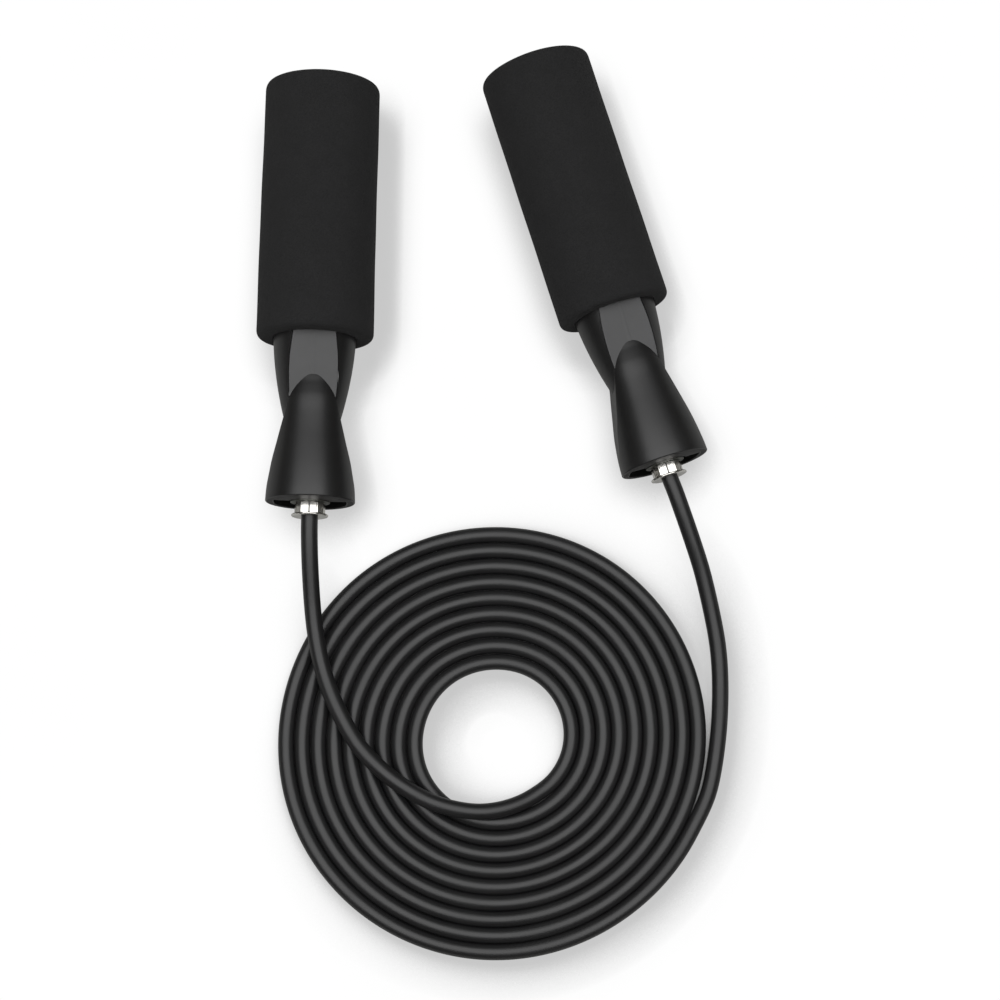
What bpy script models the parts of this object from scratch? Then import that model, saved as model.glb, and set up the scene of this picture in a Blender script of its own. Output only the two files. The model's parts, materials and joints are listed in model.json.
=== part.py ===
"""Speed jump rope: one PVC cord coiled flat, and a foam-sleeved handle on each end.

Each handle turns on a small ball bearing round a bored spindle, and the cord runs
through the spindle to a crimped stop inside the nose.

Lengths are in millimetres and are turned into metres by MM. The floor is z = 0. The
coil lies flat on it, and the handles lie beside the coil, on its +Y side.
A handle is modelled in its own frame: local Z is its axis from the mouth (0)
to the butt, local X is sideways, and local -Y faces up when it lies at rest.
A "station" is a distance along that axis.
"""

import math

import bmesh
import bpy
from mathutils import Matrix, Vector

MM = 0.001

# ---- cord --------------------------------------------------------------------
CORD_D = 4.9
COIL_CENTRE = (-0.4, 1.1)
COIL_R_START = 67.84           # centre line of the outer winding, at +X
COIL_PITCH = 4.984             # windings lie side by side
COIL_OVAL = 0.48               # the coil is slightly oval
COIL_OVAL_AT = math.radians(-26)
TURN_START = 29.0 / 360.0      # where the right tail meets the outer winding
TURN_END = 9.0 + 44.0 / 360.0  # where the inner winding starts to climb
STEPS_PER_TURN = 28
STEPS_PER_SPAN = 2             # steps between two points of a tail
SWING_GAP = 0.8                # half the gap left in the cord at a swing hinge
LIFT_GAP = 1.7                 # and at a lift hinge, which bends further

# Right tail, from the spindle to the outer winding: x, y, z
RIGHT_TAIL = (
    (54.6, 78.7, 17.6), (57.1, 72.0, 16.3), (61.1, 61.2, 12.9), (64.4, 51.5, 9.4),
    (67.6, 38.4, 5.8), (69.3, 28.8, 4.0), (69.9, 19.2, 2.9), (69.7, 9.2, 2.5),
    (68.9, 0.1, 2.45), (67.2, -10.5, 2.45), (64.8, -18.9, 2.45),
)
RIGHT_LIFT_AT, RIGHT_SWING_AT = 4, 6    # points of RIGHT_TAIL where it is hinged
# Left tail, from the inner winding over all the others to the spindle: x, y, z
LEFT_TAIL = (
    (9.9, -18.2, 3.6), (5.3, -20.3, 4.8), (0.4, -21.7, 5.8), (-5.8, -22.4, 6.8),
    (-11.1, -21.85, 7.35), (-15.3, -21.0, 7.5), (-21.5, -18.9, 7.5), (-28.2, -15.2, 7.5),
    (-34.9, -10.4, 7.5), (-42.4, -3.0, 7.5), (-47.4, 4.8, 7.5), (-51.6, 13.4, 7.7),
    (-54.6, 22.4, 8.1), (-56.5, 31.7, 9.1), (-57.4, 38.5, 10.4), (-58.1, 49.4, 13.8),
    (-58.35, 58.4, 16.9), (-58.4, 66.0, 18.3),
)
LEFT_SWING_AT, LEFT_LIFT_AT = 14, 15    # points of LEFT_TAIL where it is hinged
# Stations of the straight cord in a spindle, from just outside the mouth to the stop
SPINDLE_RUN = (-5.2, 0.0, 12.0, 24.0)

# ---- where each handle lies --------------------------------------------------
# All of it is laid out from the middle of the coil, then moved so that the origin
# is under the middle of the whole layout.
LAYOUT_SHIFT = Vector((1.6, -75.7, 0.0))
HANDLES = {
    # side: mouth centre x, y, height of the axis, yaw from +Y towards -X, roll (degrees)
    "left": (-58.5, 73.0, 18.6, -1.05, 4.2),
    "right": (52.2, 85.3, 18.05, 17.4, 5.2),
}

# ---- handle ------------------------------------------------------------------
GAP = 0.3
SEAM = 0.15                    # set-back of core and shell from their shared side edges
SHOULDER = 52.4                # where the neck meets the foam
NECK_FROM = 28.5               # mouth end of the grey neck
NECK_TO = SHOULDER - GAP
SHELL_NECK_FROM = 25.8
NECK_R, NECK_R_AT = 13.22, 54.0                    # widest radius, and its station
NECK_TAPER, NECK_TAPER_LENGTH, NECK_TAPER_POWER = 3.9, 27.0, 1.8

FOAM = {
    # side: start, end, radius at the neck, radius at the butt; the two sleeves differ
    # a little, and the right one is pushed over its shoulder
    "left": (SHOULDER, 135.2, 18.55, 18.4),
    "right": (51.1, 135.5, 18.0, 18.0),
}
FOAM_FILLET = 2.8
FOAM_FILLET_STEPS = 4
CORE_R = 12.4
CORE_BORE_R = 10.4
CORE_END = 133.0
PLUG_FACE = 134.6
HINGE_AIM = 135.0              # station each lift hinge is squared to

# Nose bell, turned: station, radius
BELL_END = 42.0
BELL_RIM = 0.5                 # chamfer round the mouth
BELL = (
    (0, 14.05), (2.4, 13.98), (5, 13.75), (9, 13.3), (13, 12.7), (17, 12.05), (21, 11.4),
    (25, 10.98), (27, 10.85), (32, 10.45), (34.7, 9.79), (36.8, 9.2), (38.4, 8.9),
    (BELL_END, 8.1),
)
# The two side facets of the bell: station, half width in X
BELL_SIDE = (
    (-1, 14.4), (2.4, 14.2), (6.2, 13.6), (9, 13.1), (11, 12.75), (13, 12.3), (15, 11.75),
    (17, 11.2), (19, 10.7), (21, 10.2), (23, 9.7), (25, 9.2), (27, 8.7), (32.4, 7.3),
    (38.4, 5.5), (BELL_END, 4.5),
)
# The flat panels on the -Y and +Y faces of the neck: station, half width in X
PANEL = (
    (24, 6.1), (28, 6.75), (32, 7.3), (36, 7.62), (40, 7.72), (44, 7.6), (48, 7.2),
    (SHOULDER, 6.65),
)
CUTTER_REACH = 30              # half depth of a cutting prism, clear of the handle

# ---- bearing and spindle -----------------------------------------------------
SPINDLE_BORE_R = 2.65
SHAFT_R = 3.85
SHAFT_END = 14.6
FLANGE_R = 5.75
FLANGE_FROM, FLANGE_TO = -4.8, -3.7
FLANGE_EDGE = 0.2
COLLAR_R = 4.75                # to the corners
COLLAR_SIDES = 12
COLLAR_FROM, COLLAR_TO = FLANGE_TO, -0.6
COLLAR_SINK = 0.2              # overlap of the collar into the flange
GROOVE_FROM, GROOVE_TO = 8.95, 10.05
GROOVE_DEPTH = 0.35
GROOVE_MID = (GROOVE_FROM + GROOVE_TO) / 2
SNAP_WIRE_R = 0.42
SNAP_BEND_R = 4.0
SNAP_HALF_OPENING = 22         # degrees
SNAP_STEPS = 18

BEARING_FROM, BEARING_TO = 3.1, 8.1
BEARING_MID = (BEARING_FROM + BEARING_TO) / 2
BEARING_OD_R = 8.0
BEARING_ID_R = 4.0
INNER_RACE_R = 5.25
OUTER_RACE_R = 6.75
RACE_DEPTH = 0.35
RACE_HALF_WIDTH = 0.9
RACE_FLOOR_HALF = 0.35         # half width of the flat bottom of the race
CAGE_HALF_WIDTH = 1.5
BALL_R = 0.95
BALL_PITCH_R = 6.0
BALLS = 7
END_PLAY = 0.12                # beside the bearing and the collar


# ---- shared mathematics ------------------------------------------------------
def spaced(start, end, count):
    """count + 1 evenly spaced values."""
    return [start + (end - start) * k / count for k in range(count + 1)]


def at_station(table, station):
    """Straight-line value at a station of a table of (station, value)."""
    for (s0, v0), (s1, v1) in zip(table, table[1:]):
        if station <= s1:
            return v0 + (v1 - v0) * (station - s0) / (s1 - s0)
    return table[-1][1]


def mirrored(edge):
    """A closed outline from its positive edge of (half width, station)."""
    return edge + [(-width, station) for width, station in reversed(edge)]


def catmull(points, count):
    """Points on a smooth curve through the given points, count per span."""
    pts = [Vector(p) for p in points]
    pts = [pts[0] * 2 - pts[1]] + pts + [pts[-1] * 2 - pts[-2]]
    out = []
    for p0, p1, p2, p3 in zip(pts, pts[1:], pts[2:], pts[3:]):
        for k in range(count):
            t = k / count
            out.append(0.5 * (2 * p1 + (p2 - p0) * t + (2 * p0 - 5 * p1 + 4 * p2 - p3) * t * t
                              + (3 * p1 - p0 - 3 * p2 + p3) * t ** 3))
    out.append(pts[-2])
    return out


def trimmed(points, start_cut, end_cut):
    """The points with the given lengths cut from the two ends."""
    pts = [Vector(p) for p in points]
    for left in (start_cut, end_cut):
        while (pts[1] - pts[0]).length < left:
            left -= (pts[1] - pts[0]).length
            pts.pop(0)
        pts[0] = pts[0] + (pts[1] - pts[0]).normalized() * left
        pts.reverse()
    return pts


# ---- scene and materials -----------------------------------------------------
for old in list(bpy.data.objects):
    bpy.data.objects.remove(old, do_unlink=True)

parts = bpy.data.collections.new("jump_rope")
cutters = bpy.data.collections.new("cutters")
bpy.context.scene.collection.children.link(parts)
bpy.context.scene.collection.children.link(cutters)


def material(name, colour, roughness, metallic=0.0):
    mat = bpy.data.materials.new(name)
    mat.use_nodes = True
    shader = mat.node_tree.nodes["Principled BSDF"]
    shader.inputs["Base Color"].default_value = (*colour, 1.0)
    shader.inputs["Roughness"].default_value = roughness
    shader.inputs["Metallic"].default_value = metallic
    mat.diffuse_color = (*colour, 1.0)
    return mat


def plastic(name, colour, roughness):
    return material(name, colour, roughness)


def metal(name, colour, roughness):
    return material(name, colour, roughness, metallic=1.0)


MATERIALS = {
    "cord": plastic("pvc_cord", colour=(0.02, 0.02, 0.021), roughness=0.38),
    "foam_grip": plastic("nbr_foam", colour=(0.012, 0.012, 0.013), roughness=0.95),
    "handle_core": plastic("grey_abs", colour=(0.085, 0.086, 0.09), roughness=0.5),
    "nose_shell": plastic("black_abs", colour=(0.018, 0.018, 0.019), roughness=0.42),
    "bearing_carrier": plastic("black_abs_inner", colour=(0.022, 0.022, 0.022), roughness=0.5),
    "end_plug": plastic("black_abs_plug", colour=(0.018, 0.018, 0.019), roughness=0.45),
    "spindle": metal("nickel_plate", colour=(0.8, 0.78, 0.72), roughness=0.16),
    "spacer_sleeve": metal("zinc_plate", colour=(0.34, 0.35, 0.34), roughness=0.38),
    "bearing_inner_ring": metal("bearing_steel_inner", colour=(0.6, 0.6, 0.6), roughness=0.22),
    "bearing_outer_ring": metal("bearing_steel_outer", colour=(0.56, 0.56, 0.57), roughness=0.25),
    "ball_cage": plastic("nylon_cage", colour=(0.55, 0.5, 0.4), roughness=0.6),
    "ball": metal("ball_steel", colour=(0.75, 0.75, 0.76), roughness=0.08),
    "thrust_washer": metal("washer_steel", colour=(0.62, 0.62, 0.62), roughness=0.3),
    "snap_ring": metal("spring_steel", colour=(0.3, 0.3, 0.32), roughness=0.35),
    "cord_stop": metal("crimp_aluminium", colour=(0.7, 0.7, 0.72), roughness=0.35),
}


# ---- solids ------------------------------------------------------------------
def add(name, data, collection=parts):
    obj = bpy.data.objects.new(name, data)
    collection.objects.link(obj)
    return obj


def bake(obj):
    """The object's mesh with its modifiers applied, welded and facing out."""
    bpy.context.view_layer.update()
    graph = bpy.context.evaluated_depsgraph_get()
    mesh = bpy.data.meshes.new_from_object(obj.evaluated_get(graph))
    bm = bmesh.new()
    bm.from_mesh(mesh)
    bmesh.ops.remove_doubles(bm, verts=bm.verts, dist=0.000002)
    bmesh.ops.recalc_face_normals(bm, faces=bm.faces)
    bm.to_mesh(mesh)
    bm.free()
    bpy.data.objects.remove(obj, do_unlink=True)
    return mesh


def turned(profile, segments):
    """A profile of (radius, station) swept round local Z.

    It is closed into a loop unless it starts on the axis.
    """
    points = [(radius * MM, 0.0, station * MM) for radius, station in profile]
    edges = [(i, i + 1) for i in range(len(points) - 1)]
    if profile[0][0] > 0:
        edges.append((len(points) - 1, 0))
    mesh = bpy.data.meshes.new("turned")
    mesh.from_pydata(points, edges, [])
    obj = add("turned", mesh, cutters)
    screw = obj.modifiers.new("turn", "SCREW")
    screw.axis = "Z"
    screw.steps = screw.render_steps = segments
    screw.use_merge_vertices = True
    screw.merge_threshold = 0.000001
    screw.use_smooth_shade = False
    return bake(obj)


def tube(r_in, r_out, start, end, segments):
    return turned(((r_out, end), (r_out, start), (r_in, start), (r_in, end)), segments)


def disc(radius, start, end, segments):
    return turned(((0, end), (radius, end), (radius, start), (0, start)), segments)


def prism(outline, half_depth, axis):
    """A flat outline extruded both ways along an axis.

    The outline's two columns are the other two axes, in X, Y, Z order.
    """
    def corner(a, b, along):
        coords = [a * MM, b * MM]
        coords.insert("XYZ".index(axis), along * MM)
        return coords

    bm = bmesh.new()
    face = bm.faces.new([bm.verts.new(corner(a, b, -half_depth)) for a, b in outline])
    extruded = bmesh.ops.extrude_face_region(bm, geom=[face])["geom"]
    far_side = [item for item in extruded if isinstance(item, bmesh.types.BMVert)]
    bmesh.ops.translate(bm, verts=far_side, vec=corner(0, 0, 2 * half_depth))
    bmesh.ops.recalc_face_normals(bm, faces=bm.faces)
    mesh = bpy.data.meshes.new("prism")
    bm.to_mesh(mesh)
    bm.free()
    return mesh


def raised(mesh, height):
    """The mesh, moved along local Z."""
    mesh.transform(Matrix.Translation((0, 0, height * MM)))
    return mesh


def boolean(mesh, cutter, operation):
    """mesh (operation) cutter, both in the same frame."""
    work = add("work", mesh, cutters)
    tool = add("tool", cutter, cutters)
    tool.hide_render = True
    mod = work.modifiers.new("bool", "BOOLEAN")
    mod.operation = operation
    mod.solver = "EXACT"
    mod.object = tool
    made = bake(work)
    bpy.data.objects.remove(tool, do_unlink=True)
    return made


def round_wire(name, points, radius, resolution):
    """A curve of round section through the points, with closed ends."""
    curve = bpy.data.curves.new(name, "CURVE")
    curve.dimensions = "3D"
    curve.bevel_depth = radius * MM
    curve.bevel_resolution = resolution
    curve.use_fill_caps = True
    line = curve.splines.new("POLY")
    line.points.add(len(points) - 1)
    for point, (x, y, z) in zip(line.points, points):
        point.co = (x * MM, y * MM, z * MM, 1.0)
    return curve


# ---- handle frames -----------------------------------------------------------
def handle_frame(side):
    x, y, height, yaw, roll = HANDLES[side]
    spin = Matrix.Rotation(math.radians(roll), 4, "Z")
    lay = Matrix.Rotation(math.radians(-90), 4, "X")
    turn = Matrix.Rotation(math.radians(yaw), 4, "Z")
    mouth = Vector((x, y, height)) + LAYOUT_SHIFT
    return Matrix.Translation(mouth * MM) @ turn @ lay @ spin


frames = {}
for side in HANDLES:
    frames[side] = add(side + "_handle_axis", None)
    frames[side].empty_display_size = 0.02
    frames[side].matrix_world = handle_frame(side)


def place(kind, mesh, side, name=None):
    """Put a part in a handle's frame; the two handles may share its mesh."""
    obj = add(f"{side}_{name or kind}", mesh)
    obj.parent = frames[side]
    if not mesh.materials:
        mesh.materials.append(MATERIALS[kind])
    mesh.shade_smooth()
    mesh.set_sharp_from_angle(angle=math.radians(32))
    return obj


# ---- foam, core and shell ----------------------------------------------------
def foam_grip(start, end, r_neck, r_butt):
    """A sleeve with rounded ends, stepped inside if it covers the shoulder."""
    angles = [math.radians(a) for a in spaced(0, 90, FOAM_FILLET_STEPS)]
    # fillet, from the end face to the outside: depth under the surface, distance from the end
    fillet = [(FOAM_FILLET * (1 - math.sin(a)), FOAM_FILLET * (1 - math.cos(a))) for a in angles]
    profile = [(r_butt - depth, end - inset) for depth, inset in fillet]
    profile += [(r_neck - depth, start + inset) for depth, inset in reversed(fillet)]
    bore = CORE_R + GAP
    if start < SHOULDER:
        lip = neck_radius(SHOULDER) + GAP
        profile += [(lip, start), (lip, SHOULDER), (bore, SHOULDER), (bore, end)]
    else:
        profile += [(bore, start), (bore, end)]
    return turned(profile, 32)


def neck_radius(station):
    """Turned radius of the neck: widest under the foam, narrowing towards the mouth."""
    taper = max(0.0, (NECK_R_AT - station) / NECK_TAPER_LENGTH)
    return NECK_R - NECK_TAPER * taper ** NECK_TAPER_POWER


def panel_height(station):
    """Distance from the axis to the panels, where they meet the turned neck."""
    return math.sqrt(neck_radius(station) ** 2 - at_station(PANEL, station) ** 2)


def neck_solid(start, end=NECK_TO):
    """The turned neck, flattened on -Y and +Y; past NECK_TO it goes on as a thinner stub."""
    stations = spaced(start, NECK_TO, 8)
    profile = [(neck_radius(s), s) for s in reversed(stations)]
    if end > NECK_TO:
        stub_r = CORE_R - 0.2
        profile = [(stub_r, end), (stub_r, NECK_TO)] + profile
    solid = turned([(0, end)] + profile + [(0, start)], 36)
    edge = [(panel_height(s), s) for s in stations]
    edge = [(edge[0][0], start - 1)] + edge + [(edge[-1][0], end + 1)]
    return boolean(solid, prism(mirrored(edge), CUTTER_REACH, "X"), "INTERSECT")


def panel_slab(shrink, start, end):
    """All that lies between the two side edges of the panels."""
    edge = [(at_station(PANEL, s) - shrink, s) for s in spaced(start, end, 10)]
    return prism(mirrored(edge), CUTTER_REACH, "Y")


def handle_core():
    """The grey neck, and the tube inside the foam."""
    neck = neck_solid(NECK_FROM, end=SHOULDER + 4)
    core = boolean(neck, panel_slab(SEAM, NECK_FROM - 2, SHOULDER + 8), "INTERSECT")
    core = boolean(core, disc(CORE_R, SHOULDER, CORE_END, 32), "UNION")
    bore = turned(((0, 140.0), (CORE_BORE_R, 140.0), (CORE_BORE_R, 60.0), (4.6, 54.0),
                   (4.6, 20.0), (0, 20.0)), 24)
    return boolean(core, bore, "DIFFERENCE")


def bell_solid():
    """The turned bell with its two side facets."""
    profile = [(at_station(BELL, s), s) for s in spaced(0.0, BELL_END, 10)]
    mouth_r = profile[0][0]
    profile[:1] = [(mouth_r - BELL_RIM, 0.0), (mouth_r, BELL_RIM)]
    solid = turned([(0, BELL_END)] + profile[::-1] + [(0, 0.0)], 36)
    edge = [(width, s) for s, width in BELL_SIDE] + [(BELL_SIDE[-1][1], BELL_END + 2)]
    return boolean(solid, prism(mirrored(edge), CUTTER_REACH, "Y"), "INTERSECT")


def core_space():
    """The room the neck of the core takes inside the shell, with clearance."""
    edge = [(panel_height(min(s, SHOULDER)) + GAP, s)
            for s in spaced(NECK_FROM - 0.4, 59.6, 8)]
    room = prism(mirrored(edge), CUTTER_REACH, "X")
    return boolean(room, panel_slab(-SEAM, NECK_FROM - 6, 70), "INTERSECT")


def nose_shell():
    """The bell and the two side wings of the neck, hollowed from the mouth."""
    shell = boolean(bell_solid(), neck_solid(SHELL_NECK_FROM), "UNION")
    shell = boolean(shell, core_space(), "DIFFERENCE")
    cavity = turned(((0, 27.6), (5.3, 27.6), (7.4, 22.0), (9.3, 14.0), (10.3, 10.6),
                     (10.3, 3.0), (11.35, 3.0), (11.35, -2.0), (0, -2.0)), 24)
    return boolean(shell, cavity, "DIFFERENCE")


def end_plug():
    """Pressed into the butt of the core."""
    return turned((
        (0, PLUG_FACE), (10.6, PLUG_FACE), (11.9, PLUG_FACE - 0.5), (11.9, 133.3),
        (10.1, 133.3), (10.1, 125.4), (9.5, 124.8), (8.0, 124.8), (8.0, 132.0), (0, 132.0)), 32)


# ---- bearing -----------------------------------------------------------------
def bearing_carrier():
    """Pocket for the bearing and the half-round mouth shelf."""
    pocket = BEARING_OD_R + 0.15
    carrier = turned((
        (9.95, 10.1), (9.95, 2.7), (11.05, 2.7), (11.05, 0.1), (6.5, 0.1), (6.5, 2.2),
        (pocket, 2.2), (pocket, 8.4), (6.3, 8.4), (6.3, 10.1)), 24)
    # opens the shelf on its +Y side: x, y
    window = [(-14, -3.2), (-6.2, 2.5), (6.2, 2.5), (14, -3.2), (14, 14), (-14, 14)]
    return boolean(carrier, raised(prism(window, 1.9, "Z"), 0.8), "DIFFERENCE")


def bearing_inner_ring():
    floor = INNER_RACE_R - RACE_DEPTH
    return turned((
        (INNER_RACE_R, BEARING_TO), (INNER_RACE_R, BEARING_MID + RACE_HALF_WIDTH),
        (floor, BEARING_MID + RACE_FLOOR_HALF), (floor, BEARING_MID - RACE_FLOOR_HALF),
        (INNER_RACE_R, BEARING_MID - RACE_HALF_WIDTH), (INNER_RACE_R, BEARING_FROM),
        (BEARING_ID_R, BEARING_FROM), (BEARING_ID_R, BEARING_TO)), 24)


def bearing_outer_ring():
    floor = OUTER_RACE_R + RACE_DEPTH
    return turned((
        (BEARING_OD_R, BEARING_TO), (BEARING_OD_R, BEARING_FROM),
        (OUTER_RACE_R, BEARING_FROM), (OUTER_RACE_R, BEARING_MID - RACE_HALF_WIDTH),
        (floor, BEARING_MID - RACE_FLOOR_HALF), (floor, BEARING_MID + RACE_FLOOR_HALF),
        (OUTER_RACE_R, BEARING_MID + RACE_HALF_WIDTH), (OUTER_RACE_R, BEARING_TO)), 24)


def ball_cage():
    """A thin ring with a round hole for each ball."""
    cage = tube(5.6, 6.4, BEARING_MID - CAGE_HALF_WIDTH, BEARING_MID + CAGE_HALF_WIDTH, 21)
    for k in range(BALLS):
        hole = disc(BALL_R + 0.12, 4.0, 8.0, 8)
        hole.transform(Matrix.Translation((0, 0, BEARING_MID * MM))
                       @ Matrix.Rotation(2 * math.pi * k / BALLS, 4, "Z")
                       @ Matrix.Rotation(math.radians(90), 4, "Y"))
        cage = boolean(cage, hole, "DIFFERENCE")
    return cage


def place_balls():
    bm = bmesh.new()
    bmesh.ops.create_icosphere(bm, subdivisions=1, radius=BALL_R * MM)
    ball = bpy.data.meshes.new("ball")
    bm.to_mesh(ball)
    bm.free()
    for k in range(BALLS):
        angle = 2 * math.pi * k / BALLS
        for side in HANDLES:
            obj = place("ball", ball, side, f"ball_{k + 1}")
            obj.location = (BALL_PITCH_R * math.cos(angle) * MM,
                            BALL_PITCH_R * math.sin(angle) * MM, BEARING_MID * MM)


# ---- spindle and the parts on it ---------------------------------------------
def collar():
    """Twelve-sided, chamfered towards the bearing and bored."""
    angles = [math.radians(360 / COLLAR_SIDES * k) for k in range(COLLAR_SIDES)]
    outline = [(COLLAR_R * math.cos(a), COLLAR_R * math.sin(a)) for a in angles]
    half = (COLLAR_TO - COLLAR_FROM + COLLAR_SINK) / 2
    nut = raised(prism(outline, half, "Z"), (COLLAR_FROM + COLLAR_TO - COLLAR_SINK) / 2)
    chamfer = turned(((0, COLLAR_TO), (4.5, COLLAR_TO), (5.0, COLLAR_TO - 0.3),
                      (5.0, COLLAR_FROM - 1.0), (0, COLLAR_FROM - 1.0)), 24)
    nut = boolean(nut, chamfer, "INTERSECT")
    return boolean(nut, disc(SPINDLE_BORE_R + 0.4, -8.0, 4.0, 24), "DIFFERENCE")


def spindle():
    """Flange, collar and grooved shaft, all bored for the cord."""
    groove_r = SHAFT_R - GROOVE_DEPTH
    body = turned((
        (SHAFT_R - 0.3, SHAFT_END), (SHAFT_R, SHAFT_END - 0.4),
        (SHAFT_R, GROOVE_TO), (groove_r, GROOVE_TO), (groove_r, GROOVE_FROM),
        (SHAFT_R, GROOVE_FROM), (SHAFT_R, COLLAR_FROM - COLLAR_SINK),
        (FLANGE_R - FLANGE_EDGE, FLANGE_TO), (FLANGE_R, FLANGE_TO - FLANGE_EDGE),
        (FLANGE_R, FLANGE_FROM + FLANGE_EDGE), (FLANGE_R - FLANGE_EDGE, FLANGE_FROM),
        (SPINDLE_BORE_R, FLANGE_FROM), (SPINDLE_BORE_R, SHAFT_END)), 24)
    return boolean(body, collar(), "UNION")


def spacer_sleeve():
    """Between the collar and the bearing."""
    return tube(BEARING_ID_R, 6.2, COLLAR_TO + END_PLAY, BEARING_FROM - END_PLAY, 24)


def thrust_washer():
    """Between the bearing and the snap ring."""
    return tube(BEARING_ID_R, 5.9, BEARING_TO + END_PLAY, GROOVE_FROM - 0.02, 24)


def snap_ring():
    """A round wire bent to an open ring in the groove; it opens towards +X."""
    angles = [math.radians(a)
              for a in spaced(SNAP_HALF_OPENING, 360 - SNAP_HALF_OPENING, SNAP_STEPS)]
    points = [(SNAP_BEND_R * math.cos(a), SNAP_BEND_R * math.sin(a), GROOVE_MID) for a in angles]
    wire = round_wire("snap_ring", points, SNAP_WIRE_R, resolution=1)
    return bake(add("wire", wire, cutters))


def cord_stop():
    """Crimped on the end of the cord, with a waist round its middle."""
    return turned((
        (3.7, 22.6), (4.2, 22.1), (4.2, 20.4), (3.75, 19.9), (3.75, 18.5), (4.2, 18.0),
        (4.2, 15.6), (3.7, 15.1), (2.62, 15.1), (2.62, 22.6)), 20)


# ---- cord --------------------------------------------------------------------
def coil_point(turn):
    """Point of the coil, which runs clockwise and inwards seen from above."""
    a = 2 * math.pi * turn
    r = COIL_R_START - COIL_PITCH * turn + COIL_OVAL * math.cos(2 * (a - COIL_OVAL_AT))
    return (COIL_CENTRE[0] + r * math.cos(a), COIL_CENTRE[1] - r * math.sin(a), CORD_D / 2)


def spindle_run(side):
    """Straight run of cord through the spindle, from just outside to its stop."""
    frame = handle_frame(side)
    return [(frame @ Vector((0, 0, s * MM))) / MM - LAYOUT_SHIFT for s in SPINDLE_RUN]


def add_cord(name, points, start_gap=0.0, end_gap=0.0):
    points = trimmed(points, start_gap, end_gap)
    curve = round_wire(name, points, CORD_D / 2, resolution=2)
    curve.twist_mode = "Z_UP"
    curve.materials.append(MATERIALS["cord"])
    add(name, curve).location = LAYOUT_SHIFT * MM


def build_cord():
    """The cord in five lengths, parted at the hinges; returns the hinge points."""
    steps = int((TURN_END - TURN_START) * STEPS_PER_TURN)
    coil = [coil_point(turn) for turn in spaced(TURN_START, TURN_END, steps)]
    right_run, left_run = spindle_run("right"), spindle_run("left")

    # each tail is smoothed into two points of the coil, and that last span is then dropped
    shared = STEPS_PER_SPAN + 1
    right = catmull([right_run[0], *RIGHT_TAIL, *coil[:2]], STEPS_PER_SPAN)[:-shared]
    left = catmull([*coil[-2:], *LEFT_TAIL, left_run[0]], STEPS_PER_SPAN)[shared:]
    right_lift, right_swing = ((n + 1) * STEPS_PER_SPAN for n in (RIGHT_LIFT_AT, RIGHT_SWING_AT))
    left_swing, left_lift = ((n + 1) * STEPS_PER_SPAN - 1 for n in (LEFT_SWING_AT, LEFT_LIFT_AT))

    add_cord("cord_right_tail", right_run[:0:-1] + right[:right_lift + 1], end_gap=LIFT_GAP)
    add_cord("cord_right_bend", right[right_lift:right_swing + 1], LIFT_GAP, SWING_GAP)
    add_cord("cord_coil", right[right_swing:] + coil + left[:left_swing + 1],
             SWING_GAP, SWING_GAP)
    add_cord("cord_left_bend", left[left_swing:left_lift + 1], SWING_GAP, LIFT_GAP)
    add_cord("cord_left_tail", left[left_lift:] + left_run[1:], start_gap=LIFT_GAP)
    return {
        ("left", "swing"): left[left_swing], ("left", "lift"): left[left_lift],
        ("right", "swing"): right[right_swing], ("right", "lift"): right[right_lift],
    }


def add_hinge(side, motion, point):
    """An empty at a hinge; the local X of a lift hinge is its hinge line."""
    pivot = add(f"{side}_{motion}_axis", None)
    pivot.location = (point + LAYOUT_SHIFT) * MM
    pivot.empty_display_size = 0.01
    if motion == "lift":
        butt = frames[side].matrix_world @ Vector((0, 0, HINGE_AIM * MM))
        run = butt - pivot.location
        pivot.rotation_euler.z = math.atan2(-run.x, run.y)


# ---- build -------------------------------------------------------------------
for side in HANDLES:
    place("foam_grip", foam_grip(*FOAM[side]), side)

for build in (handle_core, nose_shell, bearing_carrier, bearing_inner_ring, bearing_outer_ring,
              ball_cage, spindle, spacer_sleeve, thrust_washer, snap_ring, cord_stop, end_plug):
    part = build()
    for side in HANDLES:
        place(build.__name__, part, side)
place_balls()

for (side, motion), point in build_cord().items():
    add_hinge(side, motion, point)

bpy.context.view_layer.update()
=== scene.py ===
# A skipping rope: the cord lies on the floor in a flat coil of nine turns, its two tails run
# towards +Y into the foam handles, which lie on their sides with their butts away from the coil.
# The world is in metres, +Z up. Sizes below are in millimetres unless a comment says otherwise.
import json
import math

import bmesh
import bpy
import numpy as np
from mathutils import Matrix, Vector


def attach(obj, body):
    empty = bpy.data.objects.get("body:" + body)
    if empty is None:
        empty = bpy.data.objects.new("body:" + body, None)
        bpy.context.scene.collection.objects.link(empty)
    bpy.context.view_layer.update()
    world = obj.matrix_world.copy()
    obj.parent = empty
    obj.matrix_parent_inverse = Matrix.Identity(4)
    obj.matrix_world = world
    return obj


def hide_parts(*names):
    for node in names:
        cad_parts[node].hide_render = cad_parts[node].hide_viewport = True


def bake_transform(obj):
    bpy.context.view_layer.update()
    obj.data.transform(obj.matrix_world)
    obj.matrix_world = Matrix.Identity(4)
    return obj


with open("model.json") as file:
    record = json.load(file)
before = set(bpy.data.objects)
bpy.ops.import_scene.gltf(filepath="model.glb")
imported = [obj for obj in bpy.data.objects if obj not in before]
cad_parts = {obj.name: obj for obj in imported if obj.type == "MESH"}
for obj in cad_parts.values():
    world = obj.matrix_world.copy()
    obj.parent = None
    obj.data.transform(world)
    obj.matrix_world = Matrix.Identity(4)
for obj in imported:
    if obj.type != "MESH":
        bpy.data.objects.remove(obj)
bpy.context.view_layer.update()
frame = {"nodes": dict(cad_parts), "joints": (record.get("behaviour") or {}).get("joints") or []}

MM = 0.001
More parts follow.
